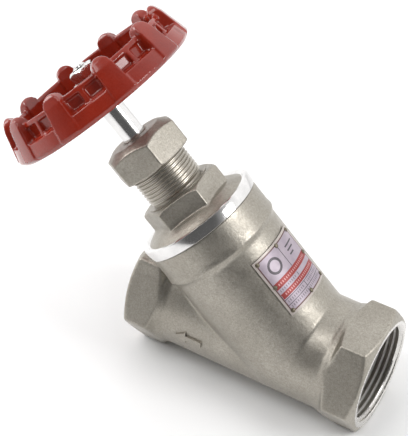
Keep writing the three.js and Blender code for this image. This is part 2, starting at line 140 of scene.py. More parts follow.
STEM_RADIUS = 4.9
STEM_FOOT = 18.0
BUTTON_RADIUS = 6.5
BUTTON_TOP = 21.0
STEM_WAIST = 4.6
BACKSEAT_BOTTOM = 34.0
BACKSEAT_RADIUS = 7.6
STEM_THREAD_ROOT = 5.1
STEM_THREAD_BOTTOM = 42.0
STEM_THREAD_TOP = 68.0
STEM_CREST = 6.0
STEM_PITCH = 3.0
STEM_DEPTH = 0.9
SQUARE_SIDE = 6.8
SQUARE_HEIGHT = 12.0
SQUARE_MIDDLE = 127.5
SQUARE_HOLE = 7.4
TIP_BOTTOM = 133.0
TIP_THREAD_TOP = 140.5
TIP_TOP = 141.0
TIP_CREST = 3.0
TIP_PITCH = 1.0
TIP_DEPTH = 0.45

WASHER_BOTTOM = 134.5
WASHER_TOP = 135.4
WASHER_RADIUS = 6.4
WHEEL_NUT_BOTTOM = 135.7
WHEEL_NUT_TOP = 139.9
WHEEL_NUT_FLATS = 10.0
WHEEL_NUT_TURN = 10.0
STUD_HOLE = 3.3

GASKET_INNER = 20.7
GASKET_OUTER = 23.6

PLATE_BOTTOM = 17.5
PLATE_TOP = 43.5
PLATE_HALF = 30.5
PLATE_THICKNESS = 0.4
RIVETS = 8
RIVET_RADIUS = 0.95
RIVET_SHANK = 0.6
RIVET_HEIGHT = 0.5

ARROW_PLACE = -22.0  # along the pipe

# ---- places, from the frame ----
BODY_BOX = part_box("body_casting")
PIPE_MIDDLE = Vector((BODY_BOX[1].x - PIPE_LENGTH / 2 * MM, 0, PIPE_FLATS / 2 * MM))
STEM_POINT = Vector(JOINTS["handwheel_turn"]["pos_m"])
STEM_AXIS = Vector(JOINTS["handwheel_turn"]["axis"]).normalized()
SIDEWAYS = Vector((0, 1, 0))
UPWARDS = SIDEWAYS.cross(STEM_AXIS)
TO_STEM = Matrix((
    (UPWARDS.x, SIDEWAYS.x, STEM_AXIS.x, STEM_POINT.x),
    (UPWARDS.y, SIDEWAYS.y, STEM_AXIS.y, STEM_POINT.y),
    (UPWARDS.z, SIDEWAYS.z, STEM_AXIS.z, STEM_POINT.z),
    (0, 0, 0, 1),
)) @ Matrix.Scale(MM, 4)
TO_PIPE = Matrix.Translation(PIPE_MIDDLE) @ Matrix.Scale(MM, 4)
STEM_IN_PIPE = TO_PIPE.inverted() @ TO_STEM
Z_TO_X = Matrix.Rotation(math.radians(90), 4, "Y")


# ---- mesh tools ----
def mesh_object(name, points, faces):
    mesh = bpy.data.meshes.new(name)
    mesh.from_pydata(points, [], faces)
    edit = bmesh.new()
    edit.from_mesh(mesh)
    bmesh.ops.remove_doubles(edit, verts=edit.verts, dist=1e-5)
    bmesh.ops.recalc_face_normals(edit, faces=edit.faces)
    edit.to_mesh(mesh)
    edit.free()
    made = bpy.data.objects.new(name, mesh)
    bpy.context.scene.collection.objects.link(made)
    return made


def lathe(profile, segments=128, name="turned"):
    """Turns [radius, height] points about Z. The profile starts and ends on the axis."""
    points = []
    faces = []
    rows = len(profile)
    for i in range(segments):
        angle = 2 * math.pi * i / segments
        for radius, height in profile:
            points.append((radius * math.cos(angle), radius * math.sin(angle), height))
    for i in range(segments):
        here = i * rows
        there = (i + 1) % segments * rows
        for j in range(rows - 1):
            low, high = profile[j][0], profile[j + 1][0]
            if low < 1e-6 and high < 1e-6:
                continue
            if low < 1e-6:
                faces.append((here + j, there + j + 1, here + j + 1))
            elif high < 1e-6:
                faces.append((here + j, there + j, here + j + 1))
            else:
                faces.append((here + j, there + j, there + j + 1, here + j + 1))
    return mesh_object(name, points, faces)


def tube(profile, segments=128, name="ring"):
    """Turns a closed profile that stays off the axis."""
    return lathe(list(profile) + [profile[0]], segments, name)


def cylinder(radius, bottom, top, segments=128):
    return lathe([(0, bottom), (radius, bottom), (radius, top), (0, top)], segments)


def prism(outline, bottom, top, name="prism"):
    count = len(outline)
    points = [(x, y, bottom) for x, y in outline] + [(x, y, top) for x, y in outline]
    faces = [tuple(range(count)), tuple(range(count, 2 * count))]
    for i in range(count):
        j = (i + 1) % count
        faces.append((i, j, count + j, count + i))
    return mesh_object(name, points, faces)


def hexagon(flats, bottom, top, turn=0.0):
    radius = flats / math.sqrt(3)
    angles = [math.radians(turn + 60 * k) for k in range(6)]
    return prism([(radius * math.cos(a), radius * math.sin(a)) for a in angles], bottom, top)


def box(width, depth, height, centre):
    x, y, z = centre
    w, d = width / 2, depth / 2
    outline = [(x - w, y - d), (x + w, y - d), (x + w, y + d), (x - w, y + d)]
    return prism(outline, z - height / 2, z + height / 2)


def sector(inner, outer, start, end, bottom, top, steps=24):
    angles = [math.radians(start + (end - start) * k / steps) for k in range(steps + 1)]
    outline = [(outer * math.cos(a), outer * math.sin(a)) for a in angles]
    outline += [(inner * math.cos(a), inner * math.sin(a)) for a in reversed(angles)]
    return prism(outline, bottom, top)


def threaded_rod(crest, depth, pitch, bottom, top, segments=96, name="thread"):
    """A rod with a right-hand thread, from a grid of points whose rows follow the helix."""
    shape = (0.0, 0.0, 0.55, 1.0, 1.0, 0.55)  # share of the depth along one pitch
    steps = len(shape)
    root = crest - depth
    rows = steps * (math.ceil((top - bottom) / pitch) + 2)
    points = [(0, 0, bottom), (0, 0, top)]
    for i in range(segments + 1):
        angle = 2 * math.pi * i / segments
        for j in range(rows):
            height = bottom - 0.01 + (j / steps + i / segments - 1) * pitch
            inside = bottom < height < top
            fade = min(1.0, (height - bottom) / (0.6 * pitch), (top - height) / (0.6 * pitch))
            radius = root + depth * shape[j % steps] * max(fade, 0) if inside else root
            clamped = min(max(height, bottom), top)
            points.append((radius * math.cos(angle), radius * math.sin(angle), clamped))
    faces = []
    for i in range(segments):
        here = 2 + i * rows
        there = here + rows
        faces.append((0, there, here))
        faces.append((1, here + rows - 1, there + rows - 1))
        for j in range(rows - 1):
            faces.append((here + j, there + j, there + j + 1, here + j + 1))
    made = mesh_object(name, points, faces)
    edit = bmesh.new()
    edit.from_mesh(made.data)
    bmesh.ops.dissolve_degenerate(edit, edges=edit.edges, dist=1e-5)
    bmesh.ops.recalc_face_normals(edit, faces=edit.faces)
    edit.to_mesh(made.data)
    edit.free()
    return made


def moved(made, matrix):
    made.data.transform(matrix)
    if matrix.determinant() < 0:
        made.data.flip_normals()
    return made


def turned(made, degrees, axis="Z"):
    return moved(made, Matrix.Rotation(math.radians(degrees), 4, axis))


def lifted(made, x=0.0, y=0.0, z=0.0):
    return moved(made, Matrix.Translation((x, y, z)))


def bake_modifiers(made):
    evaluated = made.evaluated_get(bpy.context.evaluated_depsgraph_get())
    mesh = bpy.data.meshes.new_from_object(evaluated)
    made.modifiers.clear()
    made.data = mesh
    return made


def combine(target, tools, operation):
    """Joins or cuts closed meshes, and removes the tools."""
    for tool in tools:
        modifier = target.modifiers.new("combine", "BOOLEAN")
        modifier.operation = operation
        modifier.solver = "MANIFOLD"
        modifier.object = tool
    bake_modifiers(target)
    for tool in tools:
        bpy.data.objects.remove(tool)
    return target


def union(shapes):
    return combine(shapes[0], shapes[1:], "UNION")


def cut(target, tools):
    return combine(target, tools, "DIFFERENCE")


def common(target, tool):
    return combine(target, [tool], "INTERSECT")


def softened(made, voxel, passes):
    """Rebuilds a solid as one even skin and rounds its edges and inner corners, as casting does."""
    remesh = made.modifiers.new("even skin", "REMESH")
    remesh.mode = "VOXEL"
    remesh.voxel_size = voxel
    smooth = made.modifiers.new("round edges", "SMOOTH")
    smooth.factor = 0.5
    smooth.iterations = passes
    return bake_modifiers(made)


def shade(made, sharp_degrees):
    """Smooth shading, with a crease at every edge that turns more than the angle."""
    edit = bmesh.new()
    edit.from_mesh(made.data)
    limit = math.radians(sharp_degrees)
    for face in edit.faces:
        face.smooth = True
    for edge in edit.edges:
        edge.smooth = len(edge.link_faces) == 2 and edge.calc_face_angle(0) < limit
    edit.to_mesh(made.data)
    edit.free()
    return made


def place(made, name, matrix, body, material, replaced=None, sharp=35):
    """Names a finished piece and sets it in the row's frame, on its body."""
    moved(made, matrix)
    made.name = name
    made.data.name = name
    made.data.materials.clear()
    made.data.materials.append(material)
    shade(made, sharp)
    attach(made, body)
    if replaced:
        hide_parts(replaced)
    return made


# ---- material tools ----
class Shader:
    """A material's node tree, with short calls for the nodes that the finishes use."""

    def __init__(self, name, **constants):
        self.material = bpy.data.materials.new(name)
        self.material.use_nodes = True
        self.tree = self.material.node_tree
        self.surface = self.tree.nodes["Principled BSDF"]
        for socket, value in constants.items():
            self.surface.inputs[socket.replace("_", " ")].default_value = value
        self.place = self.tree.nodes.new("ShaderNodeTexCoord").outputs["Object"]

    def link(self, source, target):
        self.tree.links.new(source, target)

    def to_surface(self, source, socket):
        self.link(source, self.surface.inputs[socket])

    def noise(self, scale, detail=4.0, roughness=0.55):
        node = self.tree.nodes.new("ShaderNodeTexNoise")
        node.inputs["Scale"].default_value = scale
        node.inputs["Detail"].default_value = detail
        node.inputs["Roughness"].default_value = roughness
        self.link(self.place, node.inputs["Vector"])
        return node.outputs["Fac"]

    def ramp(self, source, stops):
        node = self.tree.nodes.new("ShaderNodeValToRGB")
        elements = node.color_ramp.elements
        while len(elements) < len(stops):
            elements.new(0.5)
        for element, (position, colour) in zip(elements, stops):
            element.position = position
            element.color = (*colour, 1)
        self.link(source, node.inputs["Fac"])
        return node.outputs["Color"]

    def span(self, source, low, high):
        node = self.tree.nodes.new("ShaderNodeMapRange")
        node.inputs["From Min"].default_value = 0.3
        node.inputs["From Max"].default_value = 0.7
        node.inputs["To Min"].default_value = low
        node.inputs["To Max"].default_value = high
        self.link(source, node.inputs["Value"])
        return node.outputs["Result"]

    def math(self, operation, first, second):
        node = self.tree.nodes.new("ShaderNodeMath")
        node.operation = operation
        for socket, value in zip(node.inputs, (first, second)):
            if isinstance(value, (int, float)):
                socket.default_value = value
            else:
                self.link(value, socket)
        return node.outputs[0]

    def mix(self, factor, first, second):
        """Mixes two colours. The node's inputs 6 and 7 are its colour inputs."""
        node = self.tree.nodes.new("ShaderNodeMix")
        node.data_type = "RGBA"
        for socket, value in zip((node.inputs[k] for k in (0, 6, 7)), (factor, first, second)):
            if isinstance(value, (int, float)):
                socket.default_value = value
            elif isinstance(value, tuple):
                socket.default_value = (*value, 1)
            else:
                self.link(value, socket)
        return node.outputs[2]

    def bump(self, height, strength, distance, under=None):
        node = self.tree.nodes.new("ShaderNodeBump")
        node.inputs["Strength"].default_value = strength
        node.inputs["Distance"].default_value = distance
        self.link(height, node.inputs["Height"])
        if under is not None:
            self.link(under, node.inputs["Normal"])
        return node.outputs["Normal"]


# ---- materials ----
def cast_stainless():
    """Bead-blasted investment casting: warm grey, cloudy, with a fine grain."""
    s = Shader("cast_stainless", Metallic=0.85)
    clouds = s.noise(38, 5, 0.6)
    blotches = s.noise(130, 3, 0.5)
    grain = s.noise(2600, 2, 0.6)
    base = s.ramp(clouds, [
        (0.25, (0.36, 0.335, 0.285)),
        (0.5, (0.47, 0.44, 0.385)),
        (0.78, (0.57, 0.535, 0.475)),
    ])
    stained = s.mix(s.span(blotches, 0.0, 0.4), base, (0.36, 0.33, 0.285))
    pitted = s.mix(s.span(s.noise(1100, 3, 0.7), -0.2, 0.55), stained, (0.24, 0.22, 0.185))
    speckled = s.mix(s.span(grain, 0.0, 0.5), pitted, (0.20, 0.185, 0.16))
    s.to_surface(speckled, "Base Color")
    s.to_surface(s.span(s.noise(240, 3), 0.32, 0.46), "Roughness")
    coarse = s.bump(s.noise(700, 3), 0.6, 0.00016)
    s.to_surface(s.bump(grain, 0.7, 0.00008, coarse), "Normal")
    return s.material


def turned_stainless(name, roughness, tint):
    """Bright turned steel with faint tool marks and a little haze."""
    s = Shader(name, Metallic=1.0)
    haze = s.noise(160, 4)
    marks = s.noise(900, 2, 0.7)
    dark = tuple(0.86 * c for c in tint)
    s.to_surface(s.mix(s.span(haze, 0, 1), dark, tint), "Base Color")
    s.to_surface(s.span(marks, roughness * 0.8, roughness * 1.3), "Roughness")
    s.to_surface(s.bump(marks, 0.12, 0.00002), "Normal")
    return s.material


def red_enamel():
    """Thick glossy epoxy enamel with a slight orange peel."""
    s = Shader("red_enamel", Coat_Weight=0.25, Coat_Roughness=0.05)
    tone = s.noise(60, 3)
    dust = s.noise(1500, 2)
    base = s.ramp(tone, [(0.3, (0.205, 0.011, 0.003)), (0.7, (0.285, 0.018, 0.005))])
    s.to_surface(s.mix(s.span(dust, 0.0, 0.12), base, (0.36, 0.07, 0.05)), "Base Color")
    s.to_surface(s.span(s.noise(300, 2), 0.12, 0.2), "Roughness")
    s.to_surface(s.bump(s.noise(260, 2, 0.4), 0.3, 0.0002), "Normal")
    return s.material


def socket_thread():
    """Cut threads inside the pipe ends: a painted near-white highlight along the crests, over darker mottled
    steel in the grooves.
    """
    s = Shader("socket_thread", Metallic=0.9, Roughness=0.42)
    from_axis = s.tree.nodes.new("ShaderNodeVectorMath")
    from_axis.operation = "DISTANCE"
    flat = s.tree.nodes.new("ShaderNodeVectorMath")
    flat.operation = "MULTIPLY"
    flat.inputs[1].default_value = (0, 1, 1)
    s.link(s.place, flat.inputs[0])
    s.link(flat.outputs[0], from_axis.inputs[0])
    from_axis.inputs[1].default_value = (0, 0, PIPE_MIDDLE.z)
    # 0 on the crests, 1 down in the grooves: the mask of the painted crest highlight
    depth = s.tree.nodes.new("ShaderNodeMapRange")
    depth.inputs["From Min"].default_value = (SOCKET_MINOR + 0.1) * MM
    depth.inputs["From Max"].default_value = (SOCKET_MINOR + 0.9) * MM
    s.link(from_axis.outputs["Value"], depth.inputs["Value"])
    stained = s.mix(s.span(s.noise(700, 3), 0, 0.5), (0.34, 0.32, 0.29), (0.50, 0.48, 0.44))
    # painted highlight: faces near the minor radius, the crests, are coloured near-white to stand in for
    # light glinting on them
    s.to_surface(s.mix(depth.outputs["Result"], (0.95, 0.94, 0.92), stained), "Base Color")
    s.to_surface(s.bump(s.noise(1200, 2), 0.15, 0.00002), "Normal")
    return s.material


def fluoropolymer():
    s = Shader("ptfe", Roughness=0.5, Subsurface_Weight=0.05)
    s.to_surface(s.mix(s.span(s.noise(200, 3), 0, 1), (0.80, 0.78, 0.72), (0.90, 0.89, 0.85)), "Base Color")
    s.to_surface(s.bump(s.noise(1800, 2), 0.1, 0.00003), "Normal")
    return s.material


def printed_foil():
    """The nameplate's print: a lilac ground, two red bands, ruled lines and plain grey marks.
    The mesh's UV map runs from 0 to 1 across the plate and up it."""
    s = Shader("nameplate_foil", Metallic=0.25, Roughness=0.34)
    uv = s.tree.nodes.new("ShaderNodeTexCoord").outputs["UV"]
    split = s.tree.nodes.new("ShaderNodeSeparateXYZ")
    s.link(uv, split.inputs[0])
    across, up = split.outputs[0], split.outputs[1]

    def within(value, low, high):
        return s.math("MULTIPLY", s.math("GREATER_THAN", value, low), s.math("LESS_THAN", value, high))

    def area(x0, x1, y0, y1):
        return s.math("MULTIPLY", within(across, x0, x1), within(up, y0, y1))

    ground = s.mix(s.span(s.noise(300, 3), 0, 1), (0.33, 0.28, 0.33), (0.42, 0.36, 0.41))
    colour = ground
    grey = (0.07, 0.06, 0.07)
    red = (0.27, 0.032, 0.030)
    for low, high in ((0.44, 0.545), (0.27, 0.36)):
        colour = s.mix(area(0.06, 0.94, low, high), colour, red)
    rules = [area(0.045, 0.955, y - 0.005, y + 0.005) for y in (0.155, 0.25)]
    rules.append(area(0.495, 0.507, 0.55, 0.94))
    rules.append(area(0.495, 0.507, 0.16, 0.25))
    rules.append(area(0.495, 0.507, 0.37, 0.43))
    for rule in rules:
        colour = s.mix(rule, colour, grey)
    # rows of short plain strokes where the real plate has small print
    strokes = s.math("GREATER_THAN", s.math("SINE", s.math("MULTIPLY", across, 150), 0), 0.1)
    for low, high, x0, x1 in ((0.185, 0.225, 0.09, 0.45), (0.185, 0.225, 0.55, 0.9),
                              (0.09, 0.13, 0.09, 0.86), (0.385, 0.42, 0.09, 0.45)):
        row = s.math("MULTIPLY", area(x0, x1, low, high), strokes)
        colour = s.mix(s.math("MULTIPLY", row, 0.6), colour, grey)
    for low, high in ((0.475, 0.51), (0.30, 0.335)):
        row = s.math("MULTIPLY", area(0.12, 0.86, low, high), strokes)
        colour = s.mix(s.math("MULTIPLY", row, 0.5), colour, (0.75, 0.45, 0.45))
    # a plain ring in one upper cell and three bars in the other
    from_ring = s.tree.nodes.new("ShaderNodeVectorMath")
    from_ring.operation = "DISTANCE"
    s.link(uv, from_ring.inputs[0])
    from_ring.inputs[1].default_value = (0.27, 0.745, 0)
    colour = s.mix(within(from_ring.outputs["Value"], 0.09, 0.13), colour, grey)
    for k in range(3):
        bar = area(0.62, 0.86 - 0.06 * k, 0.80 - 0.07 * k, 0.825 - 0.07 * k)
        colour = s.mix(bar, colour, grey)
    # a bare bright edge inside a thin dark outline
    inside = area(0.035, 0.965, 0.035, 0.965)
    outline = s.math("SUBTRACT", inside, area(0.055, 0.945, 0.055, 0.945))
    colour = s.mix(outline, colour, (0.12, 0.06, 0.06))
    edge = s.math("SUBTRACT", 1.0, inside)
    colour = s.mix(edge, colour, (0.46, 0.41, 0.38))
    s.to_surface(colour, "Base Color")
    s.to_surface(s.bump(s.noise(900, 2), 0.15, 0.00003), "Normal")
    return s.material


def dark_rivet():
    s = Shader("rivet_steel", Metallic=0.9, Roughness=0.45)
    s.to_surface(s.mix(s.span(s.noise(700, 3), 0, 1), (0.10, 0.085, 0.06), (0.24, 0.21, 0.16)), "Base Color")
    s.to_surface(s.bump(s.noise(1500, 2), 0.3, 0.00005), "Normal")
    return s.material


CAST = cast_stainless()
POLISHED = turned_stainless("polished_stainless", 0.13, (0.80, 0.79, 0.78))
TURNED = turned_stainless("turned_stainless", 0.25, (0.78, 0.76, 0.73))
THREAD_STEEL = turned_stainless("thread_stainless", 0.34, (0.52, 0.49, 0.44))
SOCKET_THREAD = socket_thread()
RED = red_enamel()
PTFE = fluoropolymer()
FOIL = printed_foil()
RIVET_STEEL = dark_rivet()


# ---- body ----
def hex_end():
    """One hexagonal end of the pipe about Z, with its face at half the pipe's length."""
    face = PIPE_LENGTH / 2
    back = face - HEX_LENGTH
    corner = PIPE_FLATS / math.sqrt(3) + 0.3
    envelope = lathe([
        (0, back - 1), (PIPE_RADIUS + 0.8, back - 1), (PIPE_RADIUS + 1, back),
        (corner, back + HEX_CHAMFER), (corner, face - HEX_CHAMFER), (FACE_RADIUS, face), (0, face),
    ])
    hex_block = common(hexagon(PIPE_FLATS, back - 0.8, face, 30), envelope)
    bead = lathe([
        (0, back - 3.4), (PIPE_RADIUS - 0.4, back - 3.4), (PIPE_RADIUS + 0.5, back - 2.2),
        (PIPE_RADIUS + 0.8, back - 1.2), (PIPE_RADIUS + 0.5, back), (0, back),
    ])
    return [hex_block, bead]


def flow_arrow():
    """A raised arrow on the near side of the pipe, pointing to the outlet."""
    outline = [(-6, 0), (-1.2, 3.2), (-1.2, 1.4), (6, 1.4), (6, -1.4), (-1.2, -1.4), (-1.2, -3.2)]
    slab = turned(prism(outline, PIPE_RADIUS - 3, PIPE_RADIUS + 3), 90, "X")
    lifted(slab, x=ARROW_PLACE)
    return common(slab, moved(cylinder(PIPE_RADIUS + 0.8, -50, 50), Z_TO_X))


def in_pipe(made):
    """Moves a shape from the stem's frame to the pipe's."""
    return moved(made, STEM_IN_PIPE)


def casting_outside():
    barrel = cylinder(PIPE_RADIUS, -40, 40)
    along = [barrel] + hex_end() + [turned(shape, 180, "X") for shape in hex_end()]
    along = [moved(shape, Z_TO_X) for shape in along]
    branch = lathe([
        (0, SEAT_HEIGHT), (BRANCH_RADIUS, SEAT_HEIGHT), (BRANCH_RADIUS, COLLAR_START - 0.6),
        (COLLAR_RADIUS + 0.55, COLLAR_START + 1.2), (COLLAR_RADIUS + 0.1, COLLAR_START + 3.2),
        (COLLAR_RADIUS + 0.1, BRANCH_TOP + 0.6), (0, BRANCH_TOP + 0.6),
    ])
    bulge_profile = [
        (BRANCH_RADIUS * math.cos(a), SEAT_HEIGHT + BRANCH_RADIUS * math.sin(a))
        for a in [math.radians(-90 + 180 * k / 32) for k in range(33)]
    ]
    bulge = lathe([(0, bulge_profile[0][1])] + bulge_profile[1:-1] + [(0, bulge_profile[-1][1])])
    skin = softened(union(along + [in_pipe(branch), in_pipe(bulge)]), 0.55, 9)
    return union([skin, flow_arrow()])


def below_seat(height, side):
    return in_pipe(box(200, 80, 100, (100 - side, 0, height - 50)))


def socket_space(flip):
    face = PIPE_LENGTH / 2
    floor = face - SOCKET_LENGTH
    minor = SOCKET_MINOR + 0.05
    space = lathe([
        (0, floor - 3.9), (PIPE_BORE + 0.1, floor - 3.9), (SOCKET_MINOR + 1.6, floor - 1),
        (SOCKET_MINOR + 1.6, floor + 1.5), (minor, floor + 1.8), (minor, face - 1.8),
        (MOUTH_RADIUS, face + 0.01), (MOUTH_RADIUS, face + 3), (0, face + 3),
    ], 160)
    thread = threaded_rod(SOCKET_MINOR + SOCKET_DEPTH, SOCKET_DEPTH, SOCKET_PITCH, floor, face + 1, 128)
    turn = 180 if flip else 0
    return [moved(turned(shape, turn, "X"), Z_TO_X) for shape in (space, thread)]


def flow_passages():
    reach = PIPE_LENGTH / 2 - SOCKET_LENGTH
    inlet = moved(cylinder(PIPE_BORE, -20, reach), Z_TO_X)
    inlet = common(inlet, below_seat(SEAT_HEIGHT - SEAT_WALL, PIPE_BORE))
    outlet = moved(cylinder(PIPE_BORE, -reach, CROSSING), Z_TO_X)
    outlet = cut(outlet, [below_seat(SEAT_HEIGHT, PIPE_BORE + SEAT_WALL)])
    chamber = in_pipe(cylinder(CHAMBER_RADIUS, SEAT_HEIGHT, BRANCH_TOP + 2))
    seat = in_pipe(cylinder(SEAT_BORE, SEAT_HEIGHT - 9, SEAT_HEIGHT + 1))
    return [inlet, outlet, chamber, seat]


def machined_faces():
    """The stock that turning takes off the branch's top and off both pipe ends."""
    top = in_pipe(cylinder(40, BRANCH_TOP, BRANCH_TOP + 8))
    ends = [
        moved(cylinder(40, PIPE_LENGTH / 2 - 0.02, PIPE_LENGTH / 2 + 4), Z_TO_X),
        moved(cylinder(40, -PIPE_LENGTH / 2 - 4, -PIPE_LENGTH / 2 + 0.02), Z_TO_X),
    ]
    return [top] + ends


def build_body():
    body = casting_outside()
    spaces = flow_passages() + socket_space(False) + socket_space(True) + machined_faces()
    cut(body, spaces)
    place(body, "valve_body_skin", TO_PIPE, "valve_body", CAST, "body_casting", 50)
    paint_machined(body)


def paint_machined(body):
    """Gives the sockets the thread material, whose crests carry a painted highlight, and the mouths and end
    faces a turned finish.
    """
    threaded, machined = 1, 2
    body.data.materials.append(SOCKET_THREAD)
    body.data.materials.append(TURNED)
    end = PIPE_LENGTH / 2 * MM
    for face in body.data.polygons:
        offset = face.center - PIPE_MIDDLE
        radius = math.hypot(offset.y, offset.z)
        from_end = end - abs(offset.x)
        in_socket = radius < (MOUTH_RADIUS + 0.05) * MM and from_end < (SOCKET_LENGTH + 4) * MM
        in_mouth = radius < (MOUTH_RADIUS + 0.1) * MM and from_end < 1.9 * MM
        on_end = abs(face.normal.x) > 0.9 and from_end < 0.1 * MM
        if in_mouth or on_end:
            face.material_index = machined
        elif in_socket:
            face.material_index = threaded


# ---- bonnet ----
def build_bonnet():
    base = BRANCH_TOP + GAP
    corner = BONNET_FLATS / math.sqrt(3)
    flange = lathe([
        (0, BONNET_BOTTOM), (BONNET_SPIGOT - 1.2, BONNET_BOTTOM), (BONNET_SPIGOT, BONNET_BOTTOM + 1.2),
        (BONNET_SPIGOT, base), (FLANGE_RADIUS - 0.25, base), (FLANGE_RADIUS, base + 0.25),
        (FLANGE_RADIUS, FLANGE_TOP - 0.6), (FLANGE_RADIUS - 0.2, FLANGE_TOP - 0.2),
        (FLANGE_RADIUS - 0.6, FLANGE_TOP), (FLANGE_RADIUS - 2.0, FLANGE_TOP - 0.1),
        (FLANGE_RADIUS - 2.5, FLANGE_TOP - 0.6), (0, FLANGE_TOP - 0.6),
    ], 192)
    shoulder = lathe([
        (0, FLANGE_TOP - 3), (FLANGE_RADIUS - 2.2, FLANGE_TOP - 3), (FLANGE_RADIUS - 2.4, FLANGE_TOP - 0.9),
        (corner + 2.2, BONNET_HEX_BOTTOM - 1.3), (corner, BONNET_HEX_BOTTOM - 0.2),
        (corner - 2, BONNET_HEX_BOTTOM + 0.4), (0, BONNET_HEX_BOTTOM + 0.4),
    ])
    envelope = lathe([
        (0, FLANGE_TOP - 3), (corner + 0.2, FLANGE_TOP - 3), (corner + 0.2, BONNET_HEX_TOP - 1.5),
        (corner - 1.2, BONNET_HEX_TOP - 0.4), (BONNET_FLATS / 2 - 0.2, BONNET_HEX_TOP), (0, BONNET_HEX_TOP),
    ])
    block = common(hexagon(BONNET_FLATS, FLANGE_TOP - 3, BONNET_HEX_TOP, BONNET_TURN), envelope)
    casting = softened(union([shoulder, block]), 0.32, 7)
    land = cylinder(BONNET_FLATS / 2 - 1.6, BONNET_HEX_TOP - 2, BONNET_HEX_TOP + 0.25)
    holes = [cylinder(STEM_BORE, BONNET_BOTTOM - 1, NECK_TOP + 1, 64)]
    holes.append(cylinder(PACKING_BORE, PACKING_FLOOR, NECK_TOP + 1, 64))
    recess = tube([
        (GASKET_INNER, base - 1), (GASKET_OUTER, base - 1),
        (GASKET_OUTER, base + 1), (GASKET_INNER, base + 1),
    ])
    cut(flange, [recess, cylinder(STEM_BORE, BONNET_BOTTOM - 1, NECK_TOP + 1, 64)])
    cut(casting, [cylinder(STEM_BORE, FLANGE_TOP - 5, NECK_TOP, 64)])
    cut(land, [cylinder(STEM_BORE, FLANGE_TOP - 5, NECK_TOP, 64)])
    neck = union([
        threaded_rod(NECK_CREST, NECK_DEPTH, NECK_PITCH, BONNET_HEX_TOP + 0.9, NECK_TOP, 96),
        cylinder(NECK_CREST - NECK_DEPTH - 0.1, BONNET_HEX_TOP - 1, BONNET_HEX_TOP + 1.6),
    ])
    cut(neck, holes)
    place(flange, "bonnet_flange", TO_STEM, "valve_body", POLISHED, "bonnet", 30)
    place(casting, "bonnet_hexagon", TO_STEM, "valve_body", CAST, None, 50)
    place(land, "bonnet_land", TO_STEM, "valve_body", CAST, None, 30)
    place(neck, "bonnet_neck_thread", TO_STEM, "valve_body", THREAD_STEEL, None, 50)


# ---- packing nut ----
def build_packing_nut():
    corner = NUT_FLATS / math.sqrt(3) + 0.1
    envelope = lathe([
        (0, NUT_BOTTOM), (NUT_FLATS / 2 + 0.4, NUT_BOTTOM), (corner, NUT_BOTTOM + 0.9),
        (corner, NUT_TOP - 3.2), (NUT_FLATS / 2 - 1.0, NUT_TOP - 1.3), (NUT_FLATS / 2 - 3.4, NUT_TOP),
        (0, NUT_TOP),
    ])
    nut = common(hexagon(NUT_FLATS, NUT_BOTTOM, NUT_TOP, NUT_TURN), envelope)
    softened(nut, 0.3, 5)
    cut(nut, [
        cylinder(NUT_BORE, NUT_BOTTOM - 1, NUT_ROOF, 96),
        lathe([(0, NUT_ROOF - 1), (NUT_HOLE, NUT_ROOF - 1), (NUT_HOLE, NUT_TOP - 0.5),
               (NUT_HOLE + 0.9, NUT_TOP + 0.4), (0, NUT_TOP + 0.4)], 96),
    ])
    place(nut, "packing_nut_skin", TO_STEM, "gland_nut", CAST, "packing_nut", 50)


# ---- stem ----
def build_stem():
    lower = lathe([
        (0, STEM_FOOT), (BUTTON_RADIUS - 0.6, STEM_FOOT), (BUTTON_RADIUS, STEM_FOOT + 0.6),
        (BUTTON_RADIUS, BUTTON_TOP), (STEM_WAIST, BUTTON_TOP), (STEM_WAIST, BACKSEAT_BOTTOM),
        (BACKSEAT_RADIUS, BACKSEAT_BOTTOM), (BACKSEAT_RADIUS, BACKSEAT_BOTTOM + 1.2),
        (STEM_THREAD_ROOT, BACKSEAT_BOTTOM + 3), (STEM_THREAD_ROOT, STEM_THREAD_BOTTOM + 0.5),
        (0, STEM_THREAD_BOTTOM + 0.5),
    ], 96)
    thread = threaded_rod(STEM_CREST, STEM_DEPTH, STEM_PITCH, STEM_THREAD_BOTTOM, STEM_THREAD_TOP, 64)
    upper = lathe([
        (0, STEM_THREAD_TOP - 0.5), (STEM_RADIUS, STEM_THREAD_TOP - 0.5),
        (STEM_RADIUS, STEM_SHOULDER - 0.3), (STEM_RADIUS - 0.3, STEM_SHOULDER), (0, STEM_SHOULDER),
    ], 96)
    square = box(SQUARE_SIDE, SQUARE_SIDE, SQUARE_HEIGHT, (0, 0, SQUARE_MIDDLE))
    tip = threaded_rod(TIP_CREST, TIP_DEPTH, TIP_PITCH, TIP_BOTTOM, TIP_THREAD_TOP, 48)
    point = lathe([
        (0, TIP_THREAD_TOP - 0.3), (TIP_CREST - 0.5, TIP_THREAD_TOP - 0.3),
        (TIP_CREST - 0.8, TIP_TOP), (0, TIP_TOP),
    ], 48)
    stem = union([lower, thread, upper, square, tip, point])
    place(stem, "stem_rod", TO_STEM, "stem_and_wheel", POLISHED, "stem", 30)


# ---- handwheel ----
def lobe(index):
    """One finger lobe: an upright arch, wider at its foot, that runs outwards along the radius."""
    half = LOBE_TOP_WIDTH / 2
    foot = LOBE_FOOT_WIDTH / 2
    arc = [math.radians(180 * k / 16) for k in range(17)]
    outline = [(-foot, 0.6), (foot, 0.6)]
    outline += [(half * math.cos(a), LOBE_HEIGHT - half + half * math.sin(a)) for a in arc]
    arch = prism(outline, LOBE_INNER - 2, LOBE_OUTER + 2)
    return turned(turned(turned(arch, 90, "X"), 90, "Z"), FIRST_LOBE + 360 / LOBES * index)


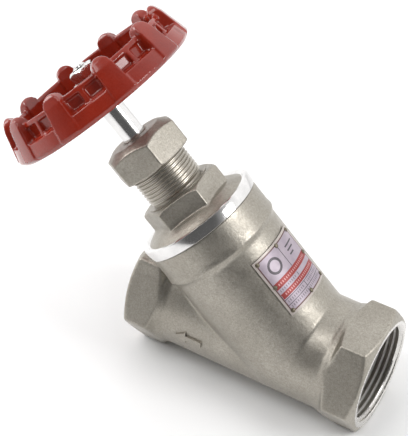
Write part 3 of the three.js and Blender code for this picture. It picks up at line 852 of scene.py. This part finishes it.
def lobe_envelope():
    top = LOBE_OUTER - WHEEL_TAPER * LOBE_HEIGHT
    return tube([
        (LOBE_INNER, 0), (LOBE_OUTER - 1.4, 0), (LOBE_OUTER, 1.8), (top + 1.2, LOBE_HEIGHT - 4),
        (top - 0.2, LOBE_HEIGHT - 1.2), (top - 1.4, LOBE_HEIGHT), (LOBE_INNER + 1.8, LOBE_HEIGHT),
        (LOBE_INNER + 0.6, LOBE_HEIGHT - 1.4), (LOBE_INNER, LOBE_HEIGHT - 4.5),
    ])


def pocket_cuts(index):
    """A recess between two lobes, with two blind cells side by side in its floor."""
    turn = FIRST_LOBE + 360 / LOBES * (index + 0.5)
    above = WHEEL_HEIGHT + 2
    floor = WHEEL_OUTER - POCKET_DEPTH
    core = lathe([(0, 0), (floor, 0), (floor - WHEEL_TAPER * above, above), (0, above)])
    start, end = turn - POCKET_HALF, turn + POCKET_HALF
    recess = sector(WHEEL_INNER, WHEEL_OUTER + 4, start, end, POCKET_BOTTOM, above)
    cuts = [cut(recess, [core])]
    middle = (CELL_TOP + CELL_BOTTOM) / 2
    depth = WHEEL_OUTER - CELL_INNER
    for offset in (-CELL_TURN, CELL_TURN):
        centre = (CELL_INNER + depth / 2, 0, middle)
        cell = box(depth, CELL_WIDTH, CELL_TOP - CELL_BOTTOM, centre)
        cuts.append(turned(cell, turn + offset))
    return cuts


def build_handwheel():
    top = WHEEL_OUTER - WHEEL_TAPER * WHEEL_HEIGHT
    rim = tube([
        (WHEEL_INNER, 0), (WHEEL_OUTER - 1.2, 0), (WHEEL_OUTER, 1.6),
        (top + 0.1, WHEEL_HEIGHT - 1), (top - 0.8, WHEEL_HEIGHT),
        (WHEEL_INNER + 0.6, WHEEL_HEIGHT), (WHEEL_INNER, WHEEL_HEIGHT - 0.8),
    ])
    for index in range(LOBES):
        cut(rim, pocket_cuts(index))
    lobes = common(union([lobe(k) for k in range(LOBES)]), lobe_envelope())
    web = cylinder(WHEEL_INNER + 1, WEB_BOTTOM, WEB_TOP)
    cut(web, [sector(OPEN_INNER, OPEN_OUTER, t - OPEN_HALF, t + OPEN_HALF, -3, 8) for t in (0, 90, 180, 270)])
    hub = lathe([
        (0, HUB_BOTTOM), (HUB_RADIUS - 0.8, HUB_BOTTOM), (HUB_RADIUS, HUB_BOTTOM + 0.8),
        (HUB_RADIUS, HUB_TOP - 0.8), (HUB_RADIUS - 0.8, HUB_TOP), (0, HUB_TOP),
    ])
    wheel = softened(union([rim, lobes, web, hub]), 0.4, 6)
    cut(wheel, [box(SQUARE_HOLE, SQUARE_HOLE, 40, (0, 0, 0))])
    lifted(wheel, z=WHEEL_BOTTOM)
    place(wheel, "handwheel_enamelled", TO_STEM, "stem_and_wheel", RED, "handwheel", 60)


def build_wheel_nut():
    bottom, top, flats = WHEEL_NUT_BOTTOM, WHEEL_NUT_TOP, WHEEL_NUT_FLATS
    corner = flats / math.sqrt(3)
    envelope = lathe([
        (0, bottom), (corner - 0.4, bottom), (corner, bottom + 0.3), (corner, top - 0.9),
        (flats / 2 - 0.4, top), (0, top),
    ], 96)
    nut = common(hexagon(flats, bottom, top, WHEEL_NUT_TURN), envelope)
    cut(nut, [cylinder(STUD_HOLE, bottom - 1, top + 1, 48)])
    place(nut, "wheel_nut_skin", TO_STEM, "stem_and_wheel", POLISHED, "wheel_nut", 25)
    washer = tube([
        (STUD_HOLE, WASHER_BOTTOM), (WASHER_RADIUS - 0.2, WASHER_BOTTOM),
        (WASHER_RADIUS, WASHER_BOTTOM + 0.2), (WASHER_RADIUS, WASHER_TOP - 0.2),
        (WASHER_RADIUS - 0.2, WASHER_TOP), (STUD_HOLE, WASHER_TOP),
    ], 96)
    place(washer, "wheel_washer_skin", TO_STEM, "stem_and_wheel", TURNED,
          "wheel_washer", 25)


# ---- nameplate ----
def build_nameplate():
    """A curved plate whose UV map runs across and up its outer face."""
    steps = 48
    inner = BRANCH_RADIUS + GAP
    outer = inner + PLATE_THICKNESS
    section = [(inner, PLATE_BOTTOM), (outer, PLATE_BOTTOM), (outer, PLATE_TOP), (inner, PLATE_TOP)]
    points = []
    for k in range(steps + 1):
        angle = math.radians(-PLATE_HALF + 2 * PLATE_HALF * k / steps)
        for radius, height in section:
            points.append((radius * math.cos(angle), radius * math.sin(angle), height))
    faces = [(0, 3, 2, 1)]
    for k in range(steps):
        for j in range(4):
            n = (j + 1) % 4
            faces.append((4 * k + j, 4 * k + n, 4 * k + 4 + n, 4 * k + 4 + j))
    last = 4 * steps
    faces.append((last, last + 1, last + 2, last + 3))
    plate = mesh_object("plate", points, faces)
    uv = plate.data.uv_layers.new(name="UVMap")
    for loop in plate.data.loops:
        x, y, z = plate.data.vertices[loop.vertex_index].co
        turn = math.degrees(math.atan2(y, x))
        across = (turn + PLATE_HALF) / (2 * PLATE_HALF)
        uv.data[loop.index].uv = (across, (z - PLATE_BOTTOM) / (PLATE_TOP - PLATE_BOTTOM))
    place(plate, "nameplate_print", TO_STEM, "valve_body", FOIL, "nameplate", 30)


def build_rivets():
    """A domed head for each rivet of the frame, seated where its CAD node is."""
    for k in range(1, RIVETS + 1):
        node = f"nameplate_rivet_{k}"
        low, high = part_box(node)
        local = TO_STEM.inverted() @ ((low + high) / 2)
        turn = math.degrees(math.atan2(local.y, local.x))
        base = BRANCH_RADIUS - 1.4
        top = BRANCH_RADIUS + GAP + PLATE_THICKNESS
        seat = top + 0.05
        arc = [math.radians(90 * j / 6) for j in range(7)]
        dome = [(RIVET_RADIUS * math.cos(a), seat + RIVET_HEIGHT * math.sin(a)) for a in arc]
        shank = [(0, base), (RIVET_SHANK, base), (RIVET_SHANK, top), (RIVET_RADIUS, seat)]
        head = lathe(shank + dome[1:-1] + [(0, dome[-1][1])], 24)
        turned(head, 90, "Y")
        turned(head, turn, "Z")
        lifted(head, z=local.z)
        place(head, node + "_head", TO_STEM, "valve_body", RIVET_STEEL, node, 60)


def finish_cad_nodes():
    """Materials for the CAD nodes that are kept: the pieces sealed inside."""
    soft = ["bonnet_gasket", "seat_disc"] + [n for n in NODES if n.startswith("packing_ring")]
    hard = ["packing_follower", "disc_holder", "disc_washer", "disc_nut", "disc_collar"]
    for names, material in ((soft, PTFE), (hard, TURNED)):
        for name in names:
            NODES[name].data.materials.clear()
            NODES[name].data.materials.append(material)


# ---- stage, light and camera ----
def build_stage():
    size = 3.0  # half the floor's side, in metres
    corners = [(-size, -size, 0), (size, -size, 0), (size, size, 0), (-size, size, 0)]
    floor = mesh_object("floor", corners, [(0, 1, 2, 3)])
    s = Shader("floor", Roughness=0.9)
    s.to_surface(s.mix(s.span(s.noise(3, 2), 0, 1), (0.95, 0.95, 0.95), (0.97, 0.97, 0.97)), "Base Color")
    floor.data.materials.append(s.material)


def area_light(name, place_at, target, size, power):
    data = bpy.data.lights.new(name, "AREA")
    data.shape = "RECTANGLE"
    data.size, data.size_y = size
    data.energy = power
    light = bpy.data.objects.new(name, data)
    light.location = place_at
    light.rotation_euler = (Vector(target) - Vector(place_at)).to_track_quat("-Z", "Y").to_euler()
    bpy.context.scene.collection.objects.link(light)


def build_light():
    """A studio whose light comes dimmer from the camera's side, and three soft boxes.
    The camera itself sees it as plain white, as the photograph's ground is."""
    world = bpy.data.worlds.new("studio")
    world.use_nodes = True
    tree = world.node_tree
    background = tree.nodes["Background"]
    background.inputs["Color"].default_value = (1, 1, 1, 1)
    direction = tree.nodes.new("ShaderNodeTexCoord").outputs["Generated"]
    towards_front = tree.nodes.new("ShaderNodeVectorMath")
    towards_front.operation = "DOT_PRODUCT"
    tree.links.new(direction, towards_front.inputs[0])
    towards_front.inputs[1].default_value = (0.33, -0.78, 0.53)
    glow = tree.nodes.new("ShaderNodeMapRange")
    glow.inputs["From Min"].default_value = 0.05
    glow.inputs["From Max"].default_value = 0.85
    glow.inputs["To Min"].default_value = 1.25
    glow.inputs["To Max"].default_value = 0.12
    tree.links.new(towards_front.outputs["Value"], glow.inputs["Value"])
    seen = tree.nodes.new("ShaderNodeLightPath").outputs["Is Camera Ray"]
    strength = tree.nodes.new("ShaderNodeMath")
    strength.operation = "MAXIMUM"
    tree.links.new(glow.outputs["Result"], strength.inputs[0])
    tree.links.new(seen, strength.inputs[1])
    tree.links.new(strength.outputs[0], background.inputs["Strength"])
    bpy.context.scene.world = world
    bpy.context.scene.view_settings.view_transform = "Standard"  # keeps white white
    middle = (0, 0, 0.07)
    area_light("key", (-0.25, -0.35, 1.0), middle, (0.5, 0.4), 2.5)
    area_light("side", (0.9, 0.15, 0.75), middle, (0.4, 0.5), 5)
    area_light("left", (-0.9, -0.2, 0.5), middle, (0.5, 0.5), 4)


def build_camera():
    """The view of the product photograph: from the inlet's side, well above the pipe."""
    right = Vector((0.85778, 0.51398, -0.00641))
    down = Vector((0.35632, -0.60356, -0.71327))
    ahead = Vector((-0.37048, 0.60954, -0.70086))
    stand = PIPE_MIDDLE + Vector((0.15710, -0.30482, 0.39660))
    data = bpy.data.cameras.new("camera")
    data.lens = 105.0
    camera = bpy.data.objects.new("camera", data)
    camera.matrix_world = Matrix((
        (right.x, -down.x, -ahead.x, stand.x),
        (right.y, -down.y, -ahead.y, stand.y),
        (right.z, -down.z, -ahead.z, stand.z),
        (0, 0, 0, 1),
    ))
    bpy.context.scene.collection.objects.link(camera)
    bpy.context.scene.camera = camera


build_camera()
build_stage()
build_light()
build_body()
build_bonnet()
build_packing_nut()
build_stem()
build_handwheel()
build_wheel_nut()
build_nameplate()
build_rivets()
finish_cad_nodes()
